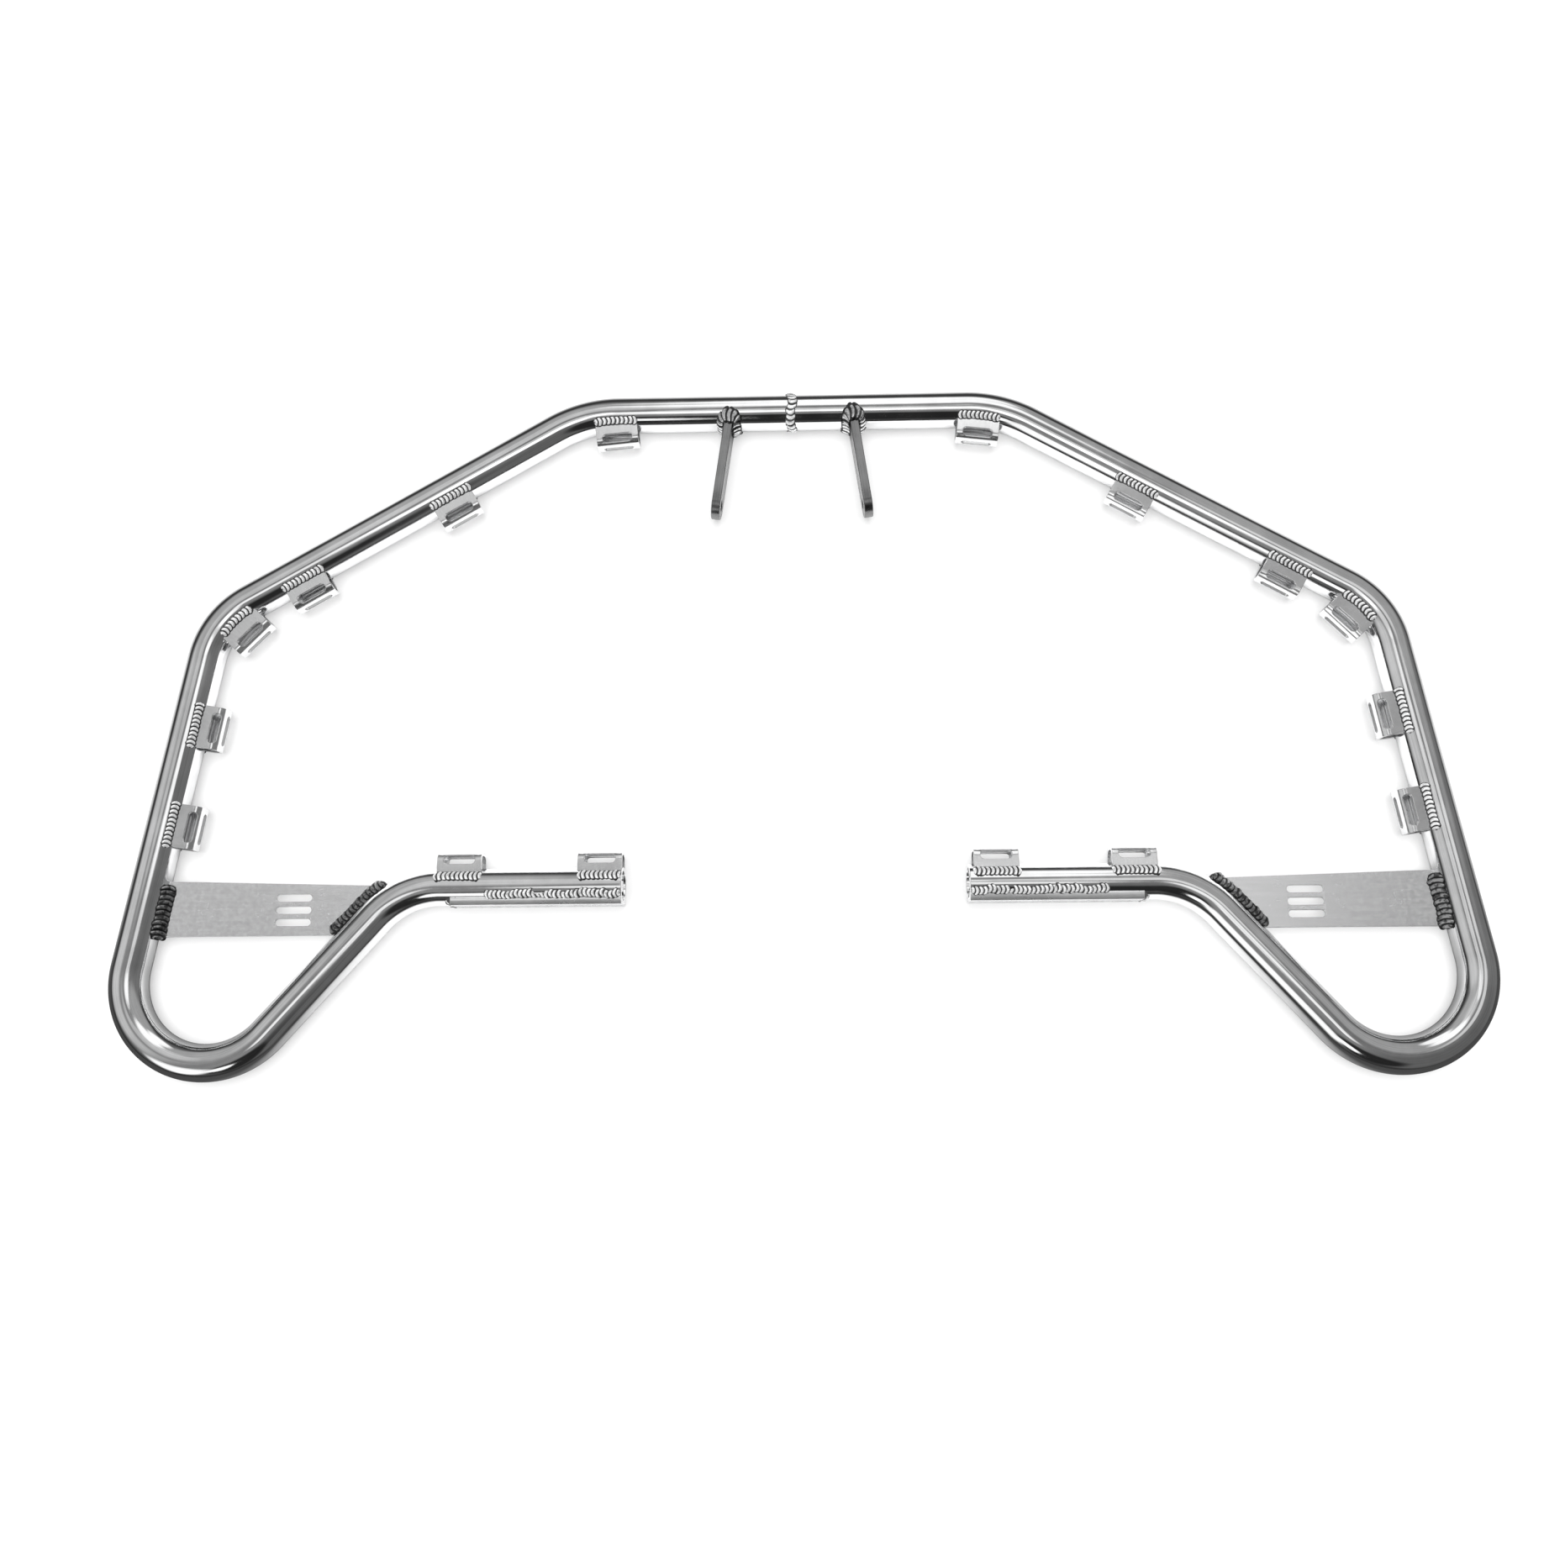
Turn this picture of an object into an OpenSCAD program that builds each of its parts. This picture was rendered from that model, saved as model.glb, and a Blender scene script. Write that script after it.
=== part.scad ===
// Welded aluminium foot-well side bar for a quad bike: two bent tubes butt-welded in the middle
// of the top run, with slotted net tabs, heel plates, splayed mounting prongs and mounting rails.
// Lies flat on its tubes. +X runs along the long side, +Y towards the top run, +Z up.

/* [Tube] */
// Outside diameter of the frame tube
tube_od = 31.75; // [29:0.05:33]
// Wall thickness of the frame tube
tube_wall = 3.2; // [2:0.1:4]

/* [Frame outline] */
// Half-length of the top run, from the centre weld to the corner of its bend
top_half = 189.5; // [185:0.5:200]
// How far out each slanting run reaches
slant_run = 329; // [320:1:340]
// How far each slanting run drops
slant_drop = 193; // [185:1:200]
// How far out each side run reaches
side_run = 86; // [75:1:95]
// How far each side run drops to the corner of the heel loop
side_drop = 544; // [535:1:550]
// Distance from the middle to the corner where the diagonal meets the end run
inner_corner_x = 337; // [330:1:345]
// Drop from the top run to the end runs
end_drop = 435; // [430:1:440]
// Half the gap between the two open tube ends
end_half_gap = 147; // [140:1:150]

/* [Bends] */
// Centreline radius between the top run and the slanting run
bend_r_top = 114; // [95:1:120]
// Centreline radius between the slanting run and the side run
bend_r_side = 76; // [70:1:80]
// Centreline radius of the heel loop
bend_r_heel = 70; // [65:1:72]
// Centreline radius between the diagonal and the end run
bend_r_inner = 76; // [70:1:80]

/* [Net tabs] */
// Length of each tab along the tube
tab_length = 38; // [34:0.5:40]
// Distance from the tube's axis to the outer face of the tabs on the straight runs
tab_reach = 32.3; // [31:0.1:34]
// The same for the corner tabs, which bridge the inside of a bend
tab_reach_corner = 36; // [34:0.5:37]
// The same for the tabs on the end runs
tab_reach_end = 29.5; // [29:0.5:32]
// Height of the tab
tab_height = 20; // [19:0.5:22]
// Thickness of the tab's sheet
tab_gauge = 3; // [2.5:0.1:3.5]
// Outside radius of the tab's two folds
tab_fold_r = 7.5; // [6:0.5:8]
// Length of the lacing slots
slot_length = 27; // [20:1:28]
// Width of the slot in the tab's web
web_slot_width = 5; // [4:0.5:6]
// How far before its fold the slot in a flange starts
slot_lead = 3; // [2:0.5:4]
// How far round its fold the slot in a flange runs, in degrees
slot_turn = 41; // [30:1:50]

/* [Tab places] */
// Middle of the left tab on the top run, from the centre weld
top_tab_left = 161; // [155:1:175]
// How far the left tab on the top run is turned towards the inside, in degrees
top_tab_left_turn = 4; // [0:1:6]
// Middle of the right tab on the top run, from the centre weld
top_tab_right = 172; // [165:1:175]
// Tab on the slanting run nearer the middle, from the corner where the run starts
slant_tab_near = 144; // [130:1:160]
// Tab on the slanting run nearer the side, from the same corner
slant_tab_far = 294; // [280:1:300]
// How far round the side bend its tab sits, in degrees
corner_tab_turn = 16; // [10:1:25]
// Upper tab on the side run, from the corner where the run starts
side_tab_upper = 98; // [90:1:110]
// Lower tab on the left side run, from the same corner
side_tab_lower_left = 187; // [175:1:195]
// Lower tab on the right side run, from the same corner
side_tab_lower_right = 183; // [175:1:195]
// Outer tab on each end run, from the middle of the frame
end_tab_outer = 287; // [280:1:290]
// Inner tab on the left end run, from the middle of the frame
end_tab_inner_left = 166.5; // [166:0.5:175]
// Inner tab on the right end run, from the middle of the frame
end_tab_inner_right = 170.5; // [166:0.5:175]

/* [Heel plates] */
// Thickness of the heel plates
plate_gauge = 3; // [2:0.1:5]
// Drop from the top run to the plate's upper edge at the side run
plate_drop_outer = 427; // [424:0.5:430]
// Drop from the top run to the plate's upper edge at the diagonal
plate_drop_inner = 433.5; // [431:0.5:435]
// Drop from the top run to the plate's lower edge
plate_drop_lower = 475.5; // [472:0.5:480]
// Number of louvre slots in each plate
louvre_count = 3; // [2:1:3]
// Length of a louvre slot
louvre_length = 31; // [24:1:34]
// Width of a louvre slot
louvre_width = 6; // [4:0.5:7]
// Spacing of the louvre slots
louvre_pitch = 10.5; // [9:0.5:12]
// Distance from the middle of the frame to the middle of the louvres
louvre_x = 430.5; // [425:0.5:440]

/* [Mounting prongs] */
// Thickness of the prong's flat bar
prong_gauge = 8; // [6:0.5:10]
// Height of the prong's flat bar
prong_height = 25.4; // [22:0.1:26]
// Half the spacing of the prongs where they leave the tube's axis
prong_root_x = 55.2; // [50:0.1:60]
// How far each prong leans outwards, in degrees
prong_splay = 8; // [0:1:12]
// Length from the tube's axis to the rounded tip
prong_length = 103; // [95:1:110]
// Diameter of the bolt hole in the tip
prong_hole_d = 10.5; // [8:0.5:11]

/* [Mounting rails] */
// Length of the rail, from the tube's open end
rail_length = 146; // [130:1:150]
// Height of the rail
rail_height = 25.4; // [22:0.1:26]
// Distance from the tube's axis to the rail's outer face
rail_reach = 16.4; // [16:0.1:18]

/* [Weld beads] */
// Radius of the beads along the tabs
tab_bead_r = 4; // [3.5:0.1:4.5]
// Radius of the beads along the rails
rail_bead_r = 3.6; // [3:0.1:4]
// Width of the bead round the centre joint
ring_width = 9; // [7:0.5:11]
// How far the centre bead stands proud of the tube
ring_proud = 1.3; // [0.8:0.1:2]
// Leg of the fillets round the heel plates
plate_bead = 7; // [5:0.5:8]
// Leg of the collars round the prongs
collar_leg = 8; // [6:0.5:9]

/* [Hidden] */
$fn = 64;
FLAT_FN = 32;        // for circles inside a hull
CUT = 1;             // overrun of a cutting shape
LEG_LAP = 0.5;       // how far a leg's end reaches into a bend
BEND_SWELL = 0.05;   // how much fuller a bend is than the legs
LAST_LEG = 4;
SIDES = ["left", "right"];
TAB_PLACES = [
    "top", "slant_near", "slant_far", "corner", "side_upper", "side_lower", "end_outer", "end_inner"
];
TOP_TAB = 0;
CORNER_TAB = 3;
FIRST_END_TAB = 6;

tube_r = tube_od / 2;
bore_r = tube_r - tube_wall;

// Corners of the right half's centreline, from the centre weld to the open end
corner = [
    [0, 0],
    [top_half, 0],
    [top_half + slant_run, -slant_drop],
    [top_half + slant_run + side_run, -slant_drop - side_drop],
    [inner_corner_x, -end_drop],
    [end_half_gap, -end_drop],
];
bend_r = [0, bend_r_top, bend_r_side, bend_r_heel, bend_r_inner, 0];

function unit(v) = v / norm(v);
function heading(i) = unit(corner[i + 1] - corner[i]);
function heading_angle(i) = atan2(heading(i)[1], heading(i)[0]);
function left_of(v) = [-v[1], v[0]];
// Signed turn at a corner, positive to the left
function turn(i) = atan2(cross(heading(i - 1), heading(i)), heading(i - 1) * heading(i));
function setback(i) = i == 0 || i > LAST_LEG ? 0 : bend_r[i] * tan(abs(turn(i)) / 2);
function leg_start(i) = corner[i] + heading(i) * setback(i);
function leg_end(i) = corner[i + 1] - heading(i) * setback(i + 1);
function bend_centre(i) =
    leg_end(i - 1) + left_of(heading(i - 1)) * sign(turn(i)) * bend_r[i];

// A place on the centreline: [point, heading angle]
function along_leg(i, distance) = [corner[i] + heading(i) * distance, heading_angle(i)];
function round_bend(i, degrees) = let (
    swept = sign(turn(i)) * degrees,
    radial = heading_angle(i - 1) - 90 * sign(turn(i)) + swept
) [
    bend_centre(i) + bend_r[i] * [cos(radial), sin(radial)],
    heading_angle(i - 1) + swept
];
function turned(place, degrees) = [place[0], place[1] - degrees];
function top_tab_turn() = (top_tab_right - leg_end(0)[0]) / bend_r_top * 180 / PI;
function tab_place(side, k) = [
    side == "left" ? turned(along_leg(0, top_tab_left), top_tab_left_turn)
        : round_bend(1, top_tab_turn()),
    along_leg(1, slant_tab_near),
    along_leg(1, slant_tab_far),
    round_bend(2, corner_tab_turn),
    along_leg(2, side_tab_upper),
    along_leg(2, side == "left" ? side_tab_lower_left : side_tab_lower_right),
    along_leg(4, inner_corner_x - end_tab_outer),
    along_leg(4, inner_corner_x - (side == "left" ? end_tab_inner_left : end_tab_inner_right)),
][k];
function reach_of(k) =
    k == CORNER_TAB ? tab_reach_corner : k >= FIRST_END_TAB ? tab_reach_end : tab_reach;

// The part stands on its tubes, centred on the origin
top_edge = tube_r + ring_proud;
bottom_edge = bend_centre(3)[1] - bend_r_heel - tube_r - BEND_SWELL;
y_shift = -(top_edge + bottom_edge) / 2;
axis_z = tube_r + BEND_SWELL;

// Beads sit where a flange or rail top meets the round of the tube
function junction(height) = sqrt(tube_r * tube_r - height * height / 4);
tab_bead_reach = junction(tab_height) - 3;
tab_bead_z = tube_r - tab_bead_r - 0.1;
weld_length = tab_length + 3;
rail_bead_reach = junction(rail_height) - 1.5;
rail_bead_z = tube_r - rail_bead_r - 0.1;
rail_bead_length = 0.8 * rail_length;

// ---- Placing ----

// Puts a right-hand shape on its side, at the height of the tube's axis
module on_side(side) {
    translate([0, y_shift, axis_z])
        if (side == "left") mirror([1, 0, 0]) children();
        else children();
}

// Moves to a place on the centreline: X along the tube, -Y towards the inside of the frame
module at_place(place) {
    translate([place[0][0], place[0][1], 0]) rotate([0, 0, place[1]]) children();
}

// ---- Solid rod along the centreline ----

// A straight leg reaches a little way into the bends at its ends
module leg(i, r, overrun = 0) {
    before = i == 0 ? overrun : LEG_LAP;
    after = i == LAST_LEG ? overrun : LEG_LAP;
    length = norm(leg_end(i) - leg_start(i));
    translate([leg_start(i)[0], leg_start(i)[1], 0])
        rotate([0, 0, heading_angle(i)])
            translate([-before, 0, 0])
                rotate([0, 90, 0])
                    cylinder(h = length + before + after, r = r);
}

module bend(i, r) {
    first_angle = heading_angle(i - 1) - 90 * sign(turn(i));
    translate([bend_centre(i)[0], bend_centre(i)[1], 0])
        rotate([0, 0, turn(i) > 0 ? first_angle : first_angle + turn(i)])
            rotate_extrude(angle = abs(turn(i)))
                translate([bend_r[i], 0]) circle(r = r + BEND_SWELL);
}

module rod(r, overrun = 0) {
    for (i = [0 : LAST_LEG]) leg(i, r, overrun);
    for (i = [1 : LAST_LEG]) bend(i, r);
}

// ---- Tubes ----

module tube(side) {
    color("gainsboro") on_side(side) difference() {
        rod(tube_r);
        rod(bore_r, CUT);
    }
}

// Bead round the butt joint, ground flush underneath
module weld_centre() {
    flush_depth = tube_r - 0.4;
    color("silver") on_side("right") difference() {
        rotate([0, 90, 0]) cylinder(h = ring_width, r = tube_r + ring_proud, center = true);
        rotate([0, 90, 0]) cylinder(h = ring_width + 2 * CUT, r = tube_r, center = true);
        translate([0, 0, -flush_depth - tube_od / 2])
            cube([ring_width + 2 * CUT, 2 * tube_od, tube_od], center = true);
    }
}

// ---- Net tabs ----

// Cross-section of a tab's outline: x is the reach from the tube's axis, y is the height
module folded_outline(reach, height, fold_r) {
    half = height / 2;
    translate([0, -half]) square([reach - fold_r, height]);
    translate([0, fold_r - half]) square([reach, height - 2 * fold_r]);
    for (s = [-1, 1]) translate([reach - fold_r, s * (half - fold_r)]) circle(r = fold_r);
}

// Slot with round ends, long in X, cut along Z
module slot(length, width, depth) {
    flat = length - width;
    cube([flat, width, depth], center = true);
    for (s = [-1, 1]) translate([s * flat / 2, 0, 0]) cylinder(h = depth, d = width, center = true);
}

// What is cut from a flange and its fold. The cut's far wall is square to the sheet.
module flange_slot(reach) {
    fold_x = reach - tab_fold_r;
    fold_y = tab_height / 2 - tab_fold_r;
    width = slot_lead + tab_fold_r * sin(slot_turn);
    top = tab_height / 2 + CUT;
    intersection() {
        translate([0, -(fold_x - slot_lead + width / 2), fold_y])
            slot(slot_length, width, 2 * (tab_fold_r + CUT));
        rotate([90, 0, -90]) linear_extrude(height = tab_length, center = true) polygon([
            [0, fold_y],
            [fold_x, fold_y],
            [fold_x + (top - fold_y) * tan(slot_turn), top],
            [0, top],
        ]);
    }
}

module channel(reach) {
    difference() {
        rotate([90, 0, -90])
            linear_extrude(height = tab_length, center = true) difference() {
                folded_outline(reach, tab_height, tab_fold_r);
                translate([-CUT, 0])
                    folded_outline(
                        reach - tab_gauge + CUT, tab_height - 2 * tab_gauge, tab_fold_r - tab_gauge
                    );
            }
        flange_slot(reach);
        mirror([0, 0, 1]) flange_slot(reach);
        translate([0, -reach, 0]) rotate([90, 0, 0])
            slot(slot_length, web_slot_width, 2 * tab_gauge + 2 * CUT);
    }
}

module net_tab(side, k) {
    color("lightgray") on_side(side) difference() {
        at_place(tab_place(side, k)) channel(reach_of(k));
        rod(tube_r, CUT);
    }
}

// Bead along X
module bead(length, r) {
    rotate([0, 90, 0]) cylinder(h = length, r = r, center = true);
}

// Bead along the inside of a bend
module bent_bead(i, degrees, length, r) {
    bead_turn_r = bend_r[i] - tab_bead_reach;
    span = length / bead_turn_r * 180 / PI;
    radial = heading_angle(i - 1) + 90 - degrees;
    translate([bend_centre(i)[0], bend_centre(i)[1], 0])
        rotate([0, 0, radial - span / 2])
            rotate_extrude(angle = span) translate([bead_turn_r, 0]) circle(r = r);
}

// The corner tab and the right top tab sit on bends
module tab_bead(side, k) {
    if (k == CORNER_TAB) bent_bead(2, corner_tab_turn, weld_length, tab_bead_r);
    else if (k == TOP_TAB && side == "right") bent_bead(1, top_tab_turn(), weld_length, tab_bead_r);
    else at_place(tab_place(side, k))
        translate([0, -tab_bead_reach, 0]) bead(weld_length, tab_bead_r);
}

// Beads above and below a tab
module weld_tab(side, k) {
    color("silver") on_side(side) difference() {
        for (s = [-1, 1]) translate([0, 0, s * tab_bead_z]) tab_bead(side, k);
        rod(tube_r, CUT);
        at_place(tab_place(side, k)) channel(reach_of(k));
        translate([0, -end_drop, 0])
            cube([2 * end_half_gap, 2 * tube_od, 2 * tube_od], center = true);
    }
}

// ---- Heel plates ----

// The plate's outline, reaching from the axis of the side run to that of the diagonal
module plate_outline() {
    polygon([
        [leg_end(2)[0], -plate_drop_outer],
        [inner_corner_x, -plate_drop_inner],
        [inner_corner_x, -plate_drop_lower],
        [leg_end(2)[0], -plate_drop_lower],
    ]);
}

// What lies between the side run and the diagonal, between their axes
module heel_area() {
    polygon([corner[2], corner[3], corner[4], [corner[4][0], corner[2][1]]]);
}

module plate_blank(thickness, spread = 0) {
    linear_extrude(height = thickness, center = true) intersection() {
        plate_outline();
        heel_area();
    }
}

module heel_plate(side) {
    louvre_y = -(plate_drop_inner + plate_drop_lower) / 2 + 1;
    color("darkgray") on_side(side) difference() {
        plate_blank(plate_gauge);
        rod(tube_r);
        for (i = [0 : louvre_count - 1])
            translate([louvre_x, louvre_y + (i - (louvre_count - 1) / 2) * louvre_pitch, 0])
                slot(louvre_length, louvre_width, plate_gauge + 2 * CUT);
    }
}

module weld_plate_side(side) {
    color("dimgray") on_side(side) difference() {
        intersection() {
            leg(2, tube_r + plate_bead);
            plate_blank(2 * plate_bead);
        }
        leg(2, tube_r);
        plate_blank(plate_gauge);
    }
}

module weld_plate_diagonal(side) {
    color("dimgray") on_side(side) difference() {
        intersection() {
            union() {
                leg(3, tube_r + plate_bead);
                bend(4, tube_r + plate_bead);
            }
            plate_blank(2 * plate_bead);
        }
        leg(3, tube_r);
        bend(4, tube_r);
        plate_blank(plate_gauge);
    }
}

// ---- Mounting prongs ----

// Moves to a prong's root: -Y along the prong
module at_prong() {
    translate([prong_root_x, 0, 0]) rotate([0, 0, prong_splay]) children();
}

module prong_bar() {
    tip_r = prong_height / 2;
    rotate([0, 90, 0]) linear_extrude(height = prong_gauge, center = true) {
        translate([-tip_r, tip_r - prong_length]) square([prong_height, prong_length - tip_r]);
        translate([0, tip_r - prong_length]) circle(r = tip_r);
    }
}

module prong(side) {
    color("gray") on_side(side) difference() {
        at_prong() prong_bar();
        rod(tube_r);
        at_prong() translate([0, prong_height / 2 - prong_length, 0]) rotate([0, 90, 0])
            cylinder(h = prong_gauge + 2 * CUT, d = prong_hole_d, center = true);
    }
}

// Upright slab with round top and bottom, facing along Y
module round_slab(width, height, y) {
    for (s = [-1, 1])
        translate([0, y, s * (height - width) / 2]) rotate([90, 0, 0])
            cylinder(h = 0.5, d = width, $fn = FLAT_FN);
}

module weld_prong(side) {
    color("silver") on_side(side) difference() {
        at_prong() hull() {
            round_slab(prong_gauge + 2 * collar_leg, tube_od - 0.4, -0.4 * tube_r);
            round_slab(prong_gauge + 1, prong_height + 1, -tube_r - 0.8 * collar_leg);
        }
        rod(tube_r);
        at_prong() prong_bar();
    }
}

// ---- Mounting rails ----

module rail_block() {
    translate([end_half_gap, -end_drop - rail_reach, -rail_height / 2])
        cube([rail_length, rail_reach, rail_height]);
}

module mounting_rail(side) {
    color("lightgray") on_side(side) difference() {
        rail_block();
        rod(tube_r, CUT);
    }
}

// Beads above and below the rail, and a short one across its outer end
module weld_rail(side) {
    color("silver") on_side(side) difference() {
        translate([0, -end_drop - rail_bead_reach, 0]) {
            for (s = [-1, 1])
                translate([end_half_gap + rail_bead_length / 2, 0, s * rail_bead_z])
                    bead(rail_bead_length, rail_bead_r);
            translate([end_half_gap + rail_length, -rail_bead_r, 0])
                cylinder(h = rail_height - 2, r = rail_bead_r, center = true);
        }
        rod(tube_r, CUT);
        rail_block();
    }
}

// ---- Assembly ----

weld_centre();
for (s = SIDES) {
    tube(s);
    heel_plate(s);
    weld_plate_side(s);
    weld_plate_diagonal(s);
    prong(s);
    weld_prong(s);
    mounting_rail(s);
    weld_rail(s);
    for (k = [0 : len(TAB_PLACES) - 1]) {
        net_tab(s, k);
        weld_tab(s, k);
    }
}
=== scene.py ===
"""Looks of a welded aluminium foot-well side bar for a quad bike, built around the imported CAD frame.

Lengths are in millimetres until a mesh is made, and in metres for the floor, the lights and the
materials. Shapes are worked out for the right half, with the top run's axis as X, and the left half
is mirrored. A place on a tube is given by the distance along its centreline, the reach from its axis
towards the inside of the frame, and the height above its axis.
"""
import math

import bpy
import numpy as np
from mathutils import Matrix, Vector
from mathutils.geometry import delaunay_2d_cdt


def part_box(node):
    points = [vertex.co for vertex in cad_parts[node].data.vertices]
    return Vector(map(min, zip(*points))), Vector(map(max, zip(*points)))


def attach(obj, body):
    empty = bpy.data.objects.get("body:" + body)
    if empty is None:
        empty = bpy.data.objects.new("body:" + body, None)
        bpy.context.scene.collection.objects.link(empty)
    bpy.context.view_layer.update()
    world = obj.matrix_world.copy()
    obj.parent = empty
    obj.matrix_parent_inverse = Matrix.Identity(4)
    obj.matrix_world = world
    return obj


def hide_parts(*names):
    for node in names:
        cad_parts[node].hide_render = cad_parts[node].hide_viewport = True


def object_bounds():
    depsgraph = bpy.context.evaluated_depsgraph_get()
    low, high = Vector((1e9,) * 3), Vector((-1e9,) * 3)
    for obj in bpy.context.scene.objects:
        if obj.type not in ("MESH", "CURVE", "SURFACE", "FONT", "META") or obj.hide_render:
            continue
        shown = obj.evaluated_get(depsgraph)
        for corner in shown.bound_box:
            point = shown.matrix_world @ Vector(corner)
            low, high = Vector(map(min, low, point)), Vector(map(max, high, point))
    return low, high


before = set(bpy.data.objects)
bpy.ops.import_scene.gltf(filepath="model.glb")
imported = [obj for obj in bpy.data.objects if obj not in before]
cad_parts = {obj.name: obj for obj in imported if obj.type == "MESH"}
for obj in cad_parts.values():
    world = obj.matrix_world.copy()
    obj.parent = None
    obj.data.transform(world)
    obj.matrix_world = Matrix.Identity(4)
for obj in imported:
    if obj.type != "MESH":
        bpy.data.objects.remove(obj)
CAD_LOW, CAD_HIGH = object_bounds()

MM = 0.001
SIDES = {"left": -1, "right": 1}

# Tube and the corners of the right half's centreline, from the centre weld to the open end
TUBE_R = 15.875
WALL = 3.2
CORNERS = np.array([(0, 0), (189.5, 0), (518.5, -193), (604.5, -737), (337, -435), (147, -435)], float)
BEND_R = (0, 114, 76, 70, 76, 0)

# Angles across a rounded edge, and the lowest height a bead may reach, so that it stays off the floor
EDGE_STEPS = np.radians([0, 30, 60, 90])
LOWEST = 0.1 - TUBE_R

# Net tabs: a sheet folded twice, with a slot in each flange and in the web. A flange slot starts
# SLOT_TURN degrees before the fold's end and runs SLOT_LEAD past it.
TAB_LENGTH = 38
TAB_REACH = 32.3
TAB_REACH_CORNER = 36
TAB_REACH_END = 29.5
TAB_HEIGHT = 20
TAB_GAUGE = 3
TAB_FOLD_R = 7.5
TAB_START = 12.2
TAB_START_CORNER = 13
TAB_EDGE = 0.4
SLOT_LENGTH = 27
WEB_SLOT_WIDTH = 5
SLOT_LEAD = 3
SLOT_TURN = 41
TOP_TAB_TURN = 4

# How a tab's beads lie: degrees from the tube's crown, and the reach of the bead's toe
TAB_BEAD = (27, 13.0)
TAB_BEADS = {"corner": (31, 14.2), "end_outer": (14, 11.8), "end_inner": (14, 11.8)}

# Heel plates
PLATE_GAUGE = 3
PLATE_DROP_OUTER = 427
PLATE_DROP_INNER = 433.5
PLATE_DROP_LOWER = 475.5
LOUVRES = 3
LOUVRE_LENGTH = 31
LOUVRE_WIDTH = 6
LOUVRE_PITCH = 10.5
LOUVRE_X = 430.5

# Mounting prongs
PRONG_GAUGE = 8
PRONG_HEIGHT = 25.4
PRONG_ROOT_X = 55.2
PRONG_SPLAY = 8
PRONG_LENGTH = 103
PRONG_HOLE_D = 10.5

# Mounting rails
RAIL_LENGTH = 146
RAIL_HEIGHT = 25.4
RAIL_REACH = 16.4

# Where the top run's axis crosses the middle of the bar, from the right tube's box in the frame
tube_low, tube_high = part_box("tube_right")
ORIGIN = np.array([0, tube_high.y / MM - TUBE_R, (tube_low.z + tube_high.z) / 2 / MM])


# ---- The tubes' centreline ----

def heading_angle(i):
    dx, dy = CORNERS[i + 1] - CORNERS[i]
    return math.atan2(dy, dx)


def turn(i):
    """Signed turn at a corner, positive to the left."""
    change = heading_angle(i) - heading_angle(i - 1)
    return (change + math.pi) % (2 * math.pi) - math.pi


def setback(i):
    return BEND_R[i] * math.tan(abs(turn(i)) / 2) if BEND_R[i] else 0


def centreline_runs():
    """Legs and bends in order, each as (start distance, length, start point, start angle, curvature)."""
    runs, distance = [], 0.0
    for i in range(len(CORNERS) - 1):
        angle = heading_angle(i)
        direction = np.array([math.cos(angle), math.sin(angle)])
        start = CORNERS[i] + direction * setback(i)
        length = np.linalg.norm(CORNERS[i + 1] - CORNERS[i]) - setback(i) - setback(i + 1)
        runs.append((distance, length, start, angle, 0.0))
        distance += length
        if BEND_R[i + 1]:
            sweep = turn(i + 1)
            arc = abs(sweep) * BEND_R[i + 1]
            runs.append((distance, arc, start + direction * length, angle, sweep / arc))
            distance += arc
    return runs


RUNS = centreline_runs()
END_S = RUNS[-1][0] + RUNS[-1][1]


def leg_s(i, distance):
    """Distance along the centreline of a place on leg i, given from the corner where the leg starts."""
    return RUNS[2 * i][0] + distance - setback(i)


def bend_s(i, degrees):
    return RUNS[2 * i - 1][0] + BEND_R[i] * math.radians(degrees)


def centre_at(s):
    """Points and heading angles at the distances s along the centreline."""
    s = np.atleast_1d(np.asarray(s, float))
    points, angles = np.zeros((len(s), 2)), np.zeros(len(s))
    for n, (begin, length, start, angle, curvature) in enumerate(RUNS):
        inside = (s >= begin if n else np.full(len(s), True))
        d = s[inside] - begin
        a = angle + curvature * d
        if curvature:
            step = np.stack([np.sin(a) - math.sin(angle), math.cos(angle) - np.cos(a)], 1) / curvature
        else:
            step = np.outer(d, [math.cos(angle), math.sin(angle)])
        points[inside] = start + step
        angles[inside] = a
    return points, angles


def on_tube(s, reach, height):
    """Points at distances s, with that reach from the axis and that height above it."""
    points, angles = centre_at(s)
    inward = np.stack([np.sin(angles), -np.cos(angles)], 1)
    flat = points + inward * np.reshape(reach, (-1, 1))
    return np.column_stack([flat, np.broadcast_to(height, len(flat))])


# ---- Making pieces ----

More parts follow.
